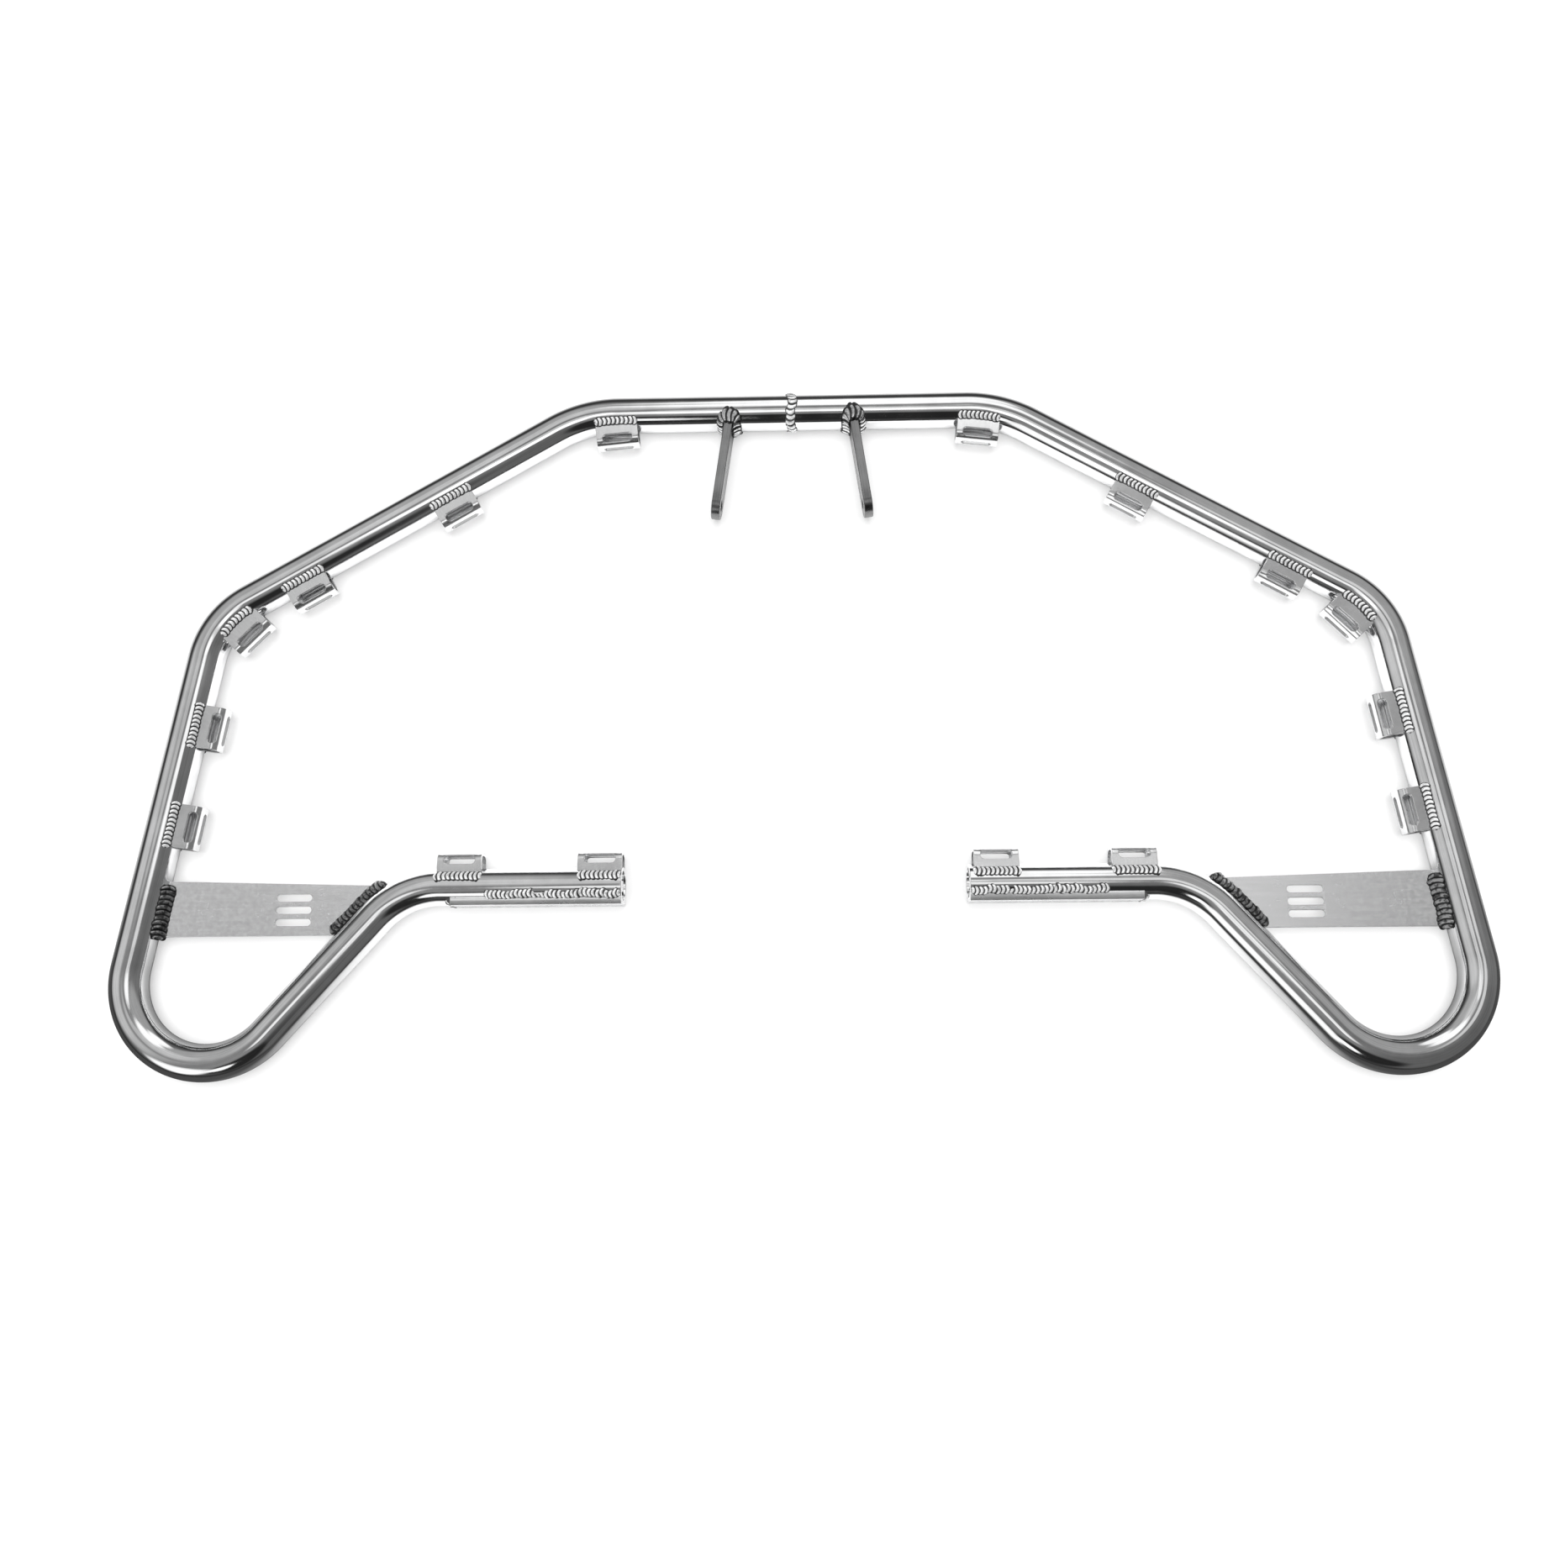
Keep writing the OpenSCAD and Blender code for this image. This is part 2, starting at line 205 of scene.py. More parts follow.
def make_piece(name, side, verts, faces, material, node, lay=None, valley_shade=None):
    """A mesh piece that rides on the frame and stands for a CAD node. lay holds each vertex's place in
    the unrolled or unfolded metal, and the last argument is 1 in the valleys of a weld, where shade is
    painted."""
    verts = np.array(verts, float)
    if side < 0:
        verts[:, 0] *= -1
        faces = [tuple(reversed(f)) for f in faces]
    mesh = bpy.data.meshes.new(name)
    mesh.from_pydata(((verts + ORIGIN) * MM).tolist(), [], [tuple(int(k) for k in f) for f in faces])
    mesh.polygons.foreach_set("use_smooth", [True] * len(mesh.polygons))
    if lay is not None:
        attribute = mesh.attributes.new("lay", "FLOAT_VECTOR", "POINT")
        attribute.data.foreach_set("vector", (np.array(lay, float) * MM).astype(np.float32).ravel())
    if valley_shade is not None:
        attribute = mesh.attributes.new("valley_shade", "FLOAT", "POINT")
        attribute.data.foreach_set("value", np.array(valley_shade, np.float32))
    mesh.materials.append(material)
    mesh.validate()
    piece = bpy.data.objects.new(name, mesh)
    bpy.context.scene.collection.objects.link(piece)
    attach(piece, "root")
    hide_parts(node)
    return piece


def keep_flats_flat(piece):
    """Shades a piece with rounded edges so that its large faces stay flat."""
    modifier = piece.modifiers.new("flats", "WEIGHTED_NORMAL")
    modifier.weight = 100
    modifier.keep_sharp = True


def join_parts(parts):
    """Joins (verts, faces, extra values) parts into one."""
    verts, faces, extra, base = [], [], [], 0
    for v, f, e in parts:
        verts.append(v)
        extra.append(e)
        faces += [tuple(k + base for k in face) for face in f]
        base += len(v)
    return np.concatenate(verts), faces, np.concatenate(extra)


# ---- Swept tube ----

def tube_mesh():
    """The right tube as one closed skin: outside, rounded open end, bore and the end at the centre weld.
    Gives verts, faces and lay."""
    edge = 0.5
    segments = 96
    stations = []
    for begin, length, _, _, curvature in RUNS:
        spacing = 1.8 if curvature else 20.0
        count = max(2, round(length / spacing))
        stations += list(begin + length * np.arange(count) / count)
    stations.append(END_S)
    stations = np.array(stations)
    inner_r = TUBE_R - WALL
    rows = [(s, TUBE_R) for s in (0.3, 0.6, *stations[1:-1], END_S - edge - 0.6, END_S - edge - 0.3)]
    rows += [(END_S - edge * (1 - math.sin(a)), TUBE_R - edge * (1 - math.cos(a))) for a in EDGE_STEPS]
    rows += [(END_S - edge * (1 - math.cos(a)), inner_r + edge * (1 - math.sin(a))) for a in EDGE_STEPS]
    rows += [(s, inner_r) for s in stations[-2:0:-1]]
    rows += [(0, inner_r), (0, TUBE_R)]
    around = np.linspace(0, 2 * math.pi, segments, endpoint=False)
    verts, lay = [], []
    for s, r in rows:
        verts.append(on_tube(np.full(segments, s), r * np.cos(around), r * np.sin(around)))
        lay.append(np.column_stack([np.full(segments, s), r * np.cos(around), r * np.sin(around)]))
    faces = []
    count = len(rows)
    for i in range(count):
        a, b = i * segments, (i + 1) % count * segments
        for k in range(segments):
            n = (k + 1) % segments
            faces.append((a + k, b + k, b + n, a + n))
    return np.concatenate(verts), faces, np.concatenate(lay)


# ---- Sheet and bar with rounded edges ----

def inset(ring, distance):
    """Moves a closed outline to the left of its own direction, keeping its number of points."""
    ring = np.asarray(ring, float)
    before = ring - np.roll(ring, 1, 0)
    after = np.roll(ring, -1, 0) - ring
    before /= np.linalg.norm(before, axis=1, keepdims=True)
    after /= np.linalg.norm(after, axis=1, keepdims=True)
    left_before = np.stack([-before[:, 1], before[:, 0]], 1)
    left_after = np.stack([-after[:, 1], after[:, 0]], 1)
    middle = left_before + left_after
    return ring + middle * (2 * distance / (middle ** 2).sum(1))[:, None]


def inside_ring(ring, points):
    """Which points lie inside a closed outline."""
    hits = np.zeros(len(points), bool)
    for a, b in zip(ring, np.roll(ring, -1, 0)):
        crosses = (a[1] > points[:, 1]) != (b[1] > points[:, 1])
        with np.errstate(divide="ignore", invalid="ignore"):
            x = (b[0] - a[0]) * (points[:, 1] - a[1]) / (b[1] - a[1]) + a[0]
        hits ^= crosses & (points[:, 0] < x)
    return hits


def slab(rings, thickness, edge, chords=()):
    """A slab with rounded edges. The first ring runs counter-clockwise and holes run clockwise. chords
    are pairs of points, numbered through all the rings, to join across the faces. Gives (u, v, w) points
    and faces."""
    levels = [(edge * (1 - math.sin(a)), thickness / 2 - edge * (1 - math.cos(a))) for a in EDGE_STEPS]
    levels += [(d, -w) for d, w in reversed(levels)]
    size = sum(len(r) for r in rings)
    verts = np.concatenate([
        np.column_stack([inset(r, d), np.full(len(r), w)]) for d, w in levels for r in rings
    ])
    faces, first = [], 0
    for ring in rings:
        n = len(ring)
        for level in range(len(levels) - 1):
            a, b = level * size + first, (level + 1) * size + first
            faces += [(a + k, b + k, b + (k + 1) % n, a + (k + 1) % n) for k in range(n)]
        first += n
    cap = verts[:size, :2]
    edges, first = list(chords), 0
    for ring in rings:
        n = len(ring)
        edges += [(first + k, first + (k + 1) % n) for k in range(n)]
        first += n
    _, _, found, originals, _, _ = delaunay_2d_cdt([Vector(p) for p in cap], edges, [], 0, 1e-6)
    corners = np.array([[originals[k][0] for k in tri] for tri in found])
    centres = cap[corners].mean(1)
    keep = inside_ring(cap[:len(rings[0])], centres)
    first = len(rings[0])
    for ring in rings[1:]:
        keep &= ~inside_ring(cap[first:first + len(ring)], centres)
        first += len(ring)
    last = (len(levels) - 1) * size
    for tri in corners[keep]:
        a, b, c = cap[tri]
        if np.cross(b - a, c - a) < 0:
            tri = tri[::-1]
        faces.append(tuple(tri))
        faces.append(tuple(last + k for k in reversed(tri)))
    return verts, faces


def stadium(centre, length, width, points=14):
    """The outline of a slot that is long in u, clockwise, so that it cuts a hole."""
    r = width / 2
    half = length / 2 - r
    ends = []
    for sign in (1, -1):
        angles = np.linspace(math.pi / 2, -math.pi / 2, points) + (0 if sign > 0 else math.pi)
        ends.append(np.column_stack([sign * half + r * np.cos(angles), r * np.sin(angles)]))
    return np.concatenate(ends) + centre


# ---- Net tabs ----

FOLD_MID_R = TAB_FOLD_R - TAB_GAUGE / 2
WEB_HALF = TAB_HEIGHT / 2 - TAB_FOLD_R
FOLD_END = WEB_HALF + FOLD_MID_R * math.pi / 2


def tab_slot(low, high, rows):
    """The outline of a tab's slot from u = low to high, long in v and clockwise, with points on the given
    rows. Gives the outline and, for each row that crosses it, its lower and upper points."""
    r = (high - low) / 2
    middle = (high + low) / 2
    round_us = middle - r * np.cos(np.linspace(0, math.pi, 13))
    us = np.concatenate([round_us, rows[(rows > low) & (rows < high)]])
    us = np.unique(us.round(6))
    reach = SLOT_LENGTH / 2 - r + np.sqrt(np.maximum(r * r - (us - middle) ** 2, 0))
    ring = np.concatenate([np.column_stack([us, reach]), np.column_stack([us, -reach])[::-1]])
    crossings = {}
    for k, u in enumerate(rows):
        if low < u < high:
            place = int(np.argmin(np.abs(us - u)))
            crossings[k] = (2 * len(us) - 1 - place, place)
    return ring, crossings


def tab_sheet(reach, start):
    """The unfolded tab: u runs across it from flange to flange, and v along the tube. Gives points and
    faces."""
    half_u = FOLD_END + reach - TAB_FOLD_R - start
    half_v = TAB_LENGTH / 2
    steps = np.linspace(WEB_HALF, FOLD_END, 13)
    rows = np.concatenate([-steps[::-1], steps])
    lower = [(-half_u, -half_v)] + [(u, -half_v) for u in rows] + [(half_u, -half_v)]
    upper = [(half_u, half_v)] + [(u, half_v) for u in rows[::-1]] + [(-half_u, half_v)]
    count = len(rows)
    rings = [np.array(lower + upper)]
    slot_in = FOLD_END - FOLD_MID_R * math.radians(SLOT_TURN)
    slot_out = FOLD_END + SLOT_LEAD
    web_slot = WEB_SLOT_WIDTH / 2
    chords, crossed, first = [], set(), len(rings[0])
    for low, high in ((-slot_out, -slot_in), (-web_slot, web_slot), (slot_in, slot_out)):
        ring, crossings = tab_slot(low, high, rows)
        crossed |= {k for k, u in enumerate(rows) if min(abs(u - low), abs(u - high)) < TAB_EDGE + 0.05}
        for k, (below, above) in crossings.items():
            if k not in crossed:
                chords += [(1 + k, first + below), (first + above, count + 2 + count - k)]
                crossed.add(k)
        rings.append(ring)
        first += len(ring)
    chords += [(1 + k, count + 2 + count - k) for k in range(count) if k not in crossed]
    return slab(rings, TAB_GAUGE, TAB_EDGE, chords)


def fold(points, reach):
    """Folds a tab's sheet: (u, v, w) becomes (along, reach, height)."""
    u, v, w = points.T
    sign = np.sign(u)
    u = np.abs(u)
    angle = np.clip((u - WEB_HALF) / FOLD_MID_R, 0, math.pi / 2)
    r = FOLD_MID_R + w
    reach = reach - TAB_FOLD_R + r * np.cos(angle) - np.maximum(u - FOLD_END, 0)
    height = np.minimum(u, WEB_HALF) + r * np.sin(angle)
    return np.column_stack([v, reach, sign * height])


def tab_place(name, side):
    """(point, heading angle, distance along the centreline) of a tab. On a leg, the distance is given
    from the corner where the leg starts."""
    leg_places = {
        "slant_near": (1, 144),
        "slant_far": (1, 294),
        "side_upper": (2, 98),
        "side_lower": (2, 187 if side < 0 else 183),
        "end_outer": (4, CORNERS[4][0] - 287),
        "end_inner": (4, CORNERS[4][0] - (166.5 if side < 0 else 170.5)),
    }
    on_centreline = {"corner": bend_s(2, 16), "top": 161 if side < 0 else 172}
    if name in on_centreline:
        s = on_centreline[name]
        points, angles = centre_at(s)
        turned = math.radians(TOP_TAB_TURN) if (name, side) == ("top", -1) else 0
        return points[0], angles[0] - turned, s
    i, distance = leg_places[name]
    angle = heading_angle(i)
    point = CORNERS[i] + distance * np.array([math.cos(angle), math.sin(angle)])
    return point, angle, leg_s(i, distance)


TAB_REACHES = {"corner": TAB_REACH_CORNER, "end_outer": TAB_REACH_END, "end_inner": TAB_REACH_END}
TAB_NAMES = (
    "top", "slant_near", "slant_far", "corner", "side_upper", "side_lower", "end_outer", "end_inner"
)


def place_tab(points, place):
    """Puts (along, reach, height) points at a place on the frame."""
    point, angle, _ = place
    along, reach, height = points.T
    c, s = math.cos(angle), math.sin(angle)
    return np.column_stack([point[0] + along * c + reach * s, point[1] + along * s - reach * c, height])


# ---- Weld beads ----

def ripple_bead(first_edge, second_edge, root, pitch, height, rng, closed=False, rough=0.2, bow=0.55,
                border_from=0.72):
    """A bead of overlapping ripples between two edges, closed underneath along root. The three are
    (n, 3) arrays of matching points. rough is how uneven the ripples are, and bow how far they curve, in
    pitches. Shade is painted into the bead's valleys, and along its edges from border_from of the half
    width outwards. Gives verts, faces and how deep in a valley each vertex is, which sets its painted
    shade."""
    across = 15
    n = len(first_edge)
    middle = (first_edge + second_edge) / 2
    steps = np.linalg.norm(np.diff(middle, axis=0), axis=1)
    s = np.concatenate([[0], np.cumsum(steps)])
    total = s[-1] + (np.linalg.norm(middle[0] - middle[-1]) if closed else 0)
    ripples = max(3, round(total / pitch))
    pitch = total / ripples
    width = np.linalg.norm(second_edge - first_edge, axis=1)
    out = middle - root
    span = (second_edge - first_edge) / width[:, None]
    out -= span * (out * span).sum(1)[:, None]
    out /= np.linalg.norm(out, axis=1, keepdims=True)
    t = np.linspace(-1, 1, across)
    size = 1 + rough * (rng.random(ripples) - 0.5) * 2
    slide = rough * (rng.random(ripples) - 0.5) * 0.5
    lump = rng.random((ripples, 3)) - 0.5
    phase = s[:, None] / pitch - bow * (t ** 2)[None, :]
    index = np.floor(phase).astype(int) % ripples
    part = phase - np.floor(phase)
    crest = np.sin(math.pi * part ** 0.8) ** 1.1
    sway = lump[index, 0] * t + lump[index, 1] * t ** 2
    dome = np.sqrt(np.clip(1 - np.abs(t) ** 2.4, 0, 1))[None, :]
    lift = height * dome * size[index] * (0.62 + 0.38 * crest + rough * 0.8 * sway)
    sideways = (t[None, :] * (1 + 0.10 * crest) + slide[index]) * width[:, None] / 2
    squeeze = np.ones(n)
    if not closed:
        from_end = np.minimum(s, total - s)
        round_off = np.clip(from_end / (width / 2), 0, 1)
        squeeze = np.maximum(np.sqrt(1 - (1 - round_off) ** 2), 0.03)
        squeeze = squeeze * (1 + 0.14 * np.exp(-((from_end - width / 2) / 2.5) ** 2))
    body = middle[:, None] + squeeze[:, None, None] * (
        span[:, None] * sideways[..., None] + out[:, None] * lift[..., None]
    )
    under = middle + (root - middle) * squeeze[:, None]
    rows = np.concatenate([body, under[:, None]], 1)
    ring = across + 1
    faces = []
    for i in range(n if closed else n - 1):
        a, b = i * ring, (i + 1) % n * ring
        faces += [(a + k, a + (k + 1) % ring, b + (k + 1) % ring, b + k) for k in range(ring)]
    if not closed:
        faces.append(tuple(range(ring - 1, -1, -1)))
        faces.append(tuple((n - 1) * ring + k for k in range(ring)))
    # Painted shade: the bead's edges count as valleys, so that they are coloured dark like shade.
    border = np.clip((np.abs(t) - border_from) / 0.2, 0, 1)[None, :]
    valley_shade = np.column_stack([np.maximum(1 - crest, border), np.ones(n)])
    verts = rows.reshape(-1, 3)
    return verts, face_outwards(verts, faces), valley_shade.ravel()


def face_outwards(verts, faces):
    """Turns a closed skin's faces over if they face inwards."""
    volume = 0.0
    for face in faces:
        a = verts[face[0]]
        for b, c in zip(face[1:-1], face[2:]):
            volume += np.dot(a, np.cross(verts[b], verts[c]))
    return faces if volume > 0 else [tuple(reversed(f)) for f in faces]


def mirror_height(part):
    """The same part on the underside."""
    verts, faces, extra = part
    verts = verts * [1, 1, -1]
    verts[:, 2] = np.maximum(verts[:, 2], LOWEST)
    return verts, [tuple(reversed(f)) for f in faces], extra


def tube_point(s, degrees, depth=0.0):
    """Points depth under the tube's surface, that many degrees from its crown towards the inside."""
    angle = np.radians(degrees)
    r = TUBE_R - depth
    return on_tube(s, r * np.sin(angle), r * np.cos(angle))


def tab_beads(name, s_middle, rng):
    """Beads along the top and the bottom of a tab. Their toes rest on the flange where the tube's skin is
    lower than it, and on the tube elsewhere. They stop short of the tube's open end."""
    crown_angle, toe = TAB_BEADS.get(name, TAB_BEAD)
    skin_under_flange = 12.3
    if toe > skin_under_flange:
        toe_height = TAB_HEIGHT / 2 - 0.2
    else:
        toe_height = math.sqrt((TUBE_R - 0.3) ** 2 - toe ** 2)
    length = min(TAB_LENGTH + 4, 2 * (END_S - 0.3 - s_middle))
    s = s_middle + np.linspace(-length / 2, length / 2, 150)
    parts = []
    for _ in range(2):
        first = tube_point(s, crown_angle, 0.35)
        second = on_tube(s, toe, toe_height)
        root = on_tube(s, 9.5, TAB_HEIGHT / 2 - 0.8)
        parts.append(ripple_bead(first, second, root, 3.9, 2.2, rng))
    return join_parts([parts[0], mirror_height(parts[1])])


def centre_bead(rng):
    """Irregular bead round the butt joint, flattened underneath."""
    half_width = 4.4
    around = np.linspace(0, 2 * math.pi, 260, endpoint=False)
    wander = 0.8 * np.sin(3 * around + 1) + 0.5 * np.sin(7 * around)
    r = TUBE_R - 0.35
    first = np.column_stack([wander - half_width, r * np.sin(around), r * np.cos(around)])
    second = np.column_stack([wander + half_width, r * np.sin(around), r * np.cos(around)])
    deep = TUBE_R - WALL + 0.5
    root = np.column_stack([0 * around, deep * np.sin(around), deep * np.cos(around)])
    verts, faces, valley_shade = ripple_bead(first, second, root, 4.6, 2.0, rng, closed=True, rough=0.45)
    verts[:, 2] = np.maximum(verts[:, 2], LOWEST)
    return verts, faces, valley_shade


def plate_beads(s_start, s_end, rng):
    """Dark fillets along both faces of a heel plate."""
    s = np.linspace(s_start, s_end, 150)
    parts = []
    for _ in range(2):
        first = tube_point(s, 57, 0.3)
        second = on_tube(s, TUBE_R + 7.5, PLATE_GAUGE / 2 - 0.3)
        root = on_tube(s, TUBE_R - 1.5, 0.6)
        parts.append(ripple_bead(first, second, root, 4.2, 1.7, rng, rough=0.5))
    return join_parts([parts[0], mirror_height(parts[1])])


def at_prong(points):
    """Points given along the tube, away from the tube and up, placed at the right prong's root."""
    along, away, height = points.T
    angle = math.radians(PRONG_SPLAY)
    c, s = math.cos(angle), math.sin(angle)
    return np.column_stack([PRONG_ROOT_X + along * c + away * s, along * s - away * c, height])


def prong_collar(rng):
    """Bead all round a prong's root, from the tube's skin to the bar's faces. The outer edge is laid out
    flat, as a slot shape whose ends reach over_crown further than half circles would, and is then
    wrapped round the tube."""
    bar_half = PRONG_GAUGE / 2 - 0.4
    bar_top = PRONG_HEIGHT / 2
    inner_straight = bar_top - 1.5
    outer_half = 11.4
    outer_straight = TUBE_R * math.asin(bar_top / TUBE_R) - 3.8
    over_crown = 3.2
    samples = 60
    outer, inner = [], []
    for sign in (1, -1):
        for k in np.linspace(-1, 1, samples, endpoint=False):
            outer.append((sign * outer_half, sign * k * outer_straight))
            inner.append((sign * bar_half, sign * k * inner_straight))
        for a in np.linspace(0, math.pi, samples, endpoint=False):
            c, s = math.cos(a), math.sin(a)
            reach = outer_straight + (outer_half + over_crown) * s
            outer.append((sign * outer_half * c, sign * reach))
            flat = math.copysign(abs(c) ** 0.4, c)
            inner.append((sign * bar_half * flat, sign * (inner_straight + 1.1 * s ** 0.4)))
    outer, inner = np.array(outer), np.array(inner)
    skin_angle = outer[:, 1] / TUBE_R
    r = TUBE_R - 0.35
    first = np.column_stack([outer[:, 0], r * np.cos(skin_angle), r * np.sin(skin_angle)])
    skin = np.sqrt(TUBE_R ** 2 - inner[:, 1] ** 2)
    second = np.column_stack([inner[:, 0], skin + 5.0, inner[:, 1]])
    root = np.column_stack([inner[:, 0] * 0.8, skin - 2.5, inner[:, 1] * 0.9])
    verts, faces, valley_shade = ripple_bead(
        first, second, root, 4.2, 1.5, rng, closed=True, rough=0.4, border_from=0.55
    )
    verts[:, 2] = np.maximum(verts[:, 2], LOWEST)
    return at_prong(verts), faces, valley_shade


def rail_beads(rng):
    """Rough beads above and below a rail, over 0.8 of its length, and one down its outer end."""
    s = np.linspace(END_S - 0.8 * RAIL_LENGTH, END_S - 0.5, 330)
    wander = 0.5 * np.sin(s / 7) + 0.4 * np.sin(s / 2.9)
    reach = wander - 3.6
    parts = []
    for _ in range(2):
        first = on_tube(s, reach, np.sqrt((TUBE_R - 0.35) ** 2 - reach ** 2))
        second = on_tube(s, -11.2 + wander / 2, RAIL_HEIGHT / 2 - 0.2)
        root = on_tube(s, -8.0, RAIL_HEIGHT / 2 - 2)
        parts.append(ripple_bead(first, second, root, 3.6, 1.5, rng, rough=0.75, bow=0.7))
    end_s = END_S - RAIL_LENGTH
    samples = 90
    heights = np.linspace(-RAIL_HEIGHT / 2 + 1, RAIL_HEIGHT / 2 - 1, samples)
    skin = np.sqrt((TUBE_R - 0.3) ** 2 - heights ** 2)
    first = on_tube(np.full(samples, end_s - 4), -skin, heights)
    second = on_tube(np.full(samples, end_s + 0.2), np.full(samples, 0.6 - RAIL_REACH), heights)
    root = on_tube(np.full(samples, end_s + 0.4), 1.5 - skin, heights)
    parts.append(ripple_bead(first, second, root, 3.6, 1.4, rng, rough=0.6))
    return join_parts([parts[0], mirror_height(parts[1]), parts[2]])


# ---- Plates, prongs and rails ----

def heel_plate():
    """The louvred plate between the side run and the diagonal. Gives points in the frame, faces and
    lay."""
    def crossing(a, b, c, d):
        """Where the lines a-b and c-d meet."""
        m = np.array([b - a, c - d]).T
        return a + (b - a) * np.linalg.solve(m, c - a)[0]

    outer_x = centre_at(RUNS[5][0])[0][0][0]
    upper = np.array([(outer_x, -PLATE_DROP_OUTER), (CORNERS[4][0], -PLATE_DROP_INNER)])
    lower = np.array([(outer_x, -PLATE_DROP_LOWER), (CORNERS[4][0], -PLATE_DROP_LOWER)])
    ring = [
        crossing(lower[0], lower[1], CORNERS[3], CORNERS[4]),
        crossing(lower[0], lower[1], CORNERS[2], CORNERS[3]),
        crossing(upper[0], upper[1], CORNERS[2], CORNERS[3]),
        upper[1],
        CORNERS[4],
    ]
    middle_y = 1 - (PLATE_DROP_INNER + PLATE_DROP_LOWER) / 2
    rings = [np.array(ring)]
    for i in range(LOUVRES):
        y = middle_y + (i - (LOUVRES - 1) / 2) * LOUVRE_PITCH
        rings.append(stadium((LOUVRE_X, y), LOUVRE_LENGTH, LOUVRE_WIDTH))
    verts, faces = slab(rings, PLATE_GAUGE, 0.45)
    return verts, faces, verts


def prong_bar():
    """Flat bar with a rounded tip and a cross hole, in the frame."""
    tip_r = PRONG_HEIGHT / 2
    tip = PRONG_LENGTH - tip_r
    angles = np.linspace(-math.pi / 2, math.pi / 2, 33)
    inside_tube = 5.0
    ring = [(inside_tube, tip_r), (inside_tube, -tip_r)]
    ring += [(tip + tip_r * math.cos(a), tip_r * math.sin(a)) for a in angles]
    hole_r = PRONG_HOLE_D / 2
    hole_angles = np.linspace(0, -2 * math.pi, 40, endpoint=False)
    hole = [(tip + hole_r * math.cos(a), hole_r * math.sin(a)) for a in hole_angles]
    verts, faces = slab([np.array(ring), np.array(hole)], PRONG_GAUGE, 0.7)
    away, height, along = verts.T
    placed = at_prong(np.column_stack([along, away, height]))
    return placed, face_outwards(placed, faces), np.column_stack([away, along, height])


def rail_bar():
    """Bar coped onto the outside of the tube, in the frame."""
    cope_r = TUBE_R - 0.7
    half = RAIL_HEIGHT / 2
    cope = math.asin(half / cope_r)
    arc = [(-cope_r * math.cos(a), cope_r * math.sin(a)) for a in np.linspace(cope, -cope, 25)]
    ring = np.array([(-RAIL_REACH, -half), (-RAIL_REACH, half)] + arc)[::-1]
    edge = 0.6
    levels = [(edge * (1 - math.sin(a)), edge * (1 - math.cos(a))) for a in EDGE_STEPS]
    levels += [(d, RAIL_LENGTH - w) for d, w in reversed(levels)]
    n = len(ring)
    verts, lay = [], []
    for d, w in levels:
        section = inset(ring, d)
        verts.append(on_tube(np.full(n, END_S - RAIL_LENGTH + w), section[:, 0], section[:, 1]))
        lay.append(np.column_stack([np.full(n, w), section]))
    faces = []
    for level in range(len(levels) - 1):
        a, b = level * n, (level + 1) * n
        faces += [(a + k, b + k, b + (k + 1) % n, a + (k + 1) % n) for k in range(n)]
    faces.append(tuple(range(n)))
    faces.append(tuple(reversed(range(len(levels) * n - n, len(levels) * n))))
    verts = np.concatenate(verts)
    return verts, face_outwards(verts, faces), np.concatenate(lay)


# ---- Materials ----

class Nodes:
    """Short forms for building a node tree."""

    def __init__(self, tree):
        self.tree = tree

    def add(self, kind, **settings):
        node = self.tree.nodes.new(kind)
        for key, value in settings.items():
            setattr(node, key, value)
        return node

    def link(self, source, target):
        self.tree.links.new(source, target)

    def scaled(self, source, scale):
        mapping = self.add("ShaderNodeMapping")
        mapping.inputs["Scale"].default_value = scale
        self.link(source, mapping.inputs["Vector"])
        return mapping.outputs["Vector"]

    def noise(self, vector, scale, detail=3.0, roughness=0.55):
        node = self.add("ShaderNodeTexNoise")
        node.inputs["Scale"].default_value = scale
        node.inputs["Detail"].default_value = detail
        node.inputs["Roughness"].default_value = roughness
        self.link(vector, node.inputs["Vector"])
        return node.outputs["Fac"]

    def remap(self, value, low, high, to_low, to_high):
        node = self.add("ShaderNodeMapRange", interpolation_type="SMOOTHSTEP")
        limits = {"From Min": low, "From Max": high, "To Min": to_low, "To Max": to_high}
        for key, number in limits.items():
            node.inputs[key].default_value = number
        self.link(value, node.inputs["Value"])
        return node.outputs["Result"]

    def math(self, operation, a, b):
        node = self.add("ShaderNodeMath", operation=operation)
        for socket, value in zip(node.inputs, (a, b)):
            if isinstance(value, (int, float)):
                socket.default_value = value
            else:
                self.link(value, socket)
        return node.outputs["Value"]

    def mix(self, factor, a, b):
        """Mixes two colours, given as sockets or as (r, g, b)."""
        node = self.add("ShaderNodeMix", data_type="RGBA")
        self.link(factor, node.inputs["Factor"])
        for socket, value in ((node.inputs[6], a), (node.inputs[7], b)):
            if isinstance(value, tuple):
                socket.default_value = (*value, 1)
            else:
                self.link(value, socket)
        return node.outputs[2]

    def bump(self, height, strength, distance, normal=None):
        node = self.add("ShaderNodeBump")
        node.inputs["Strength"].default_value = strength
        node.inputs["Distance"].default_value = distance
        self.link(height, node.inputs["Height"])
        if normal is not None:
            self.link(normal, node.inputs["Normal"])
        return node.outputs["Normal"]


def new_material(name):
    material = bpy.data.materials.new(name)
    material.use_nodes = True
    return material, Nodes(material.node_tree), material.node_tree.nodes["Principled BSDF"]


def grey(level):
    """A very slightly cool grey, as of bare aluminium."""
    return (level, level * 1.003, level * 1.008)


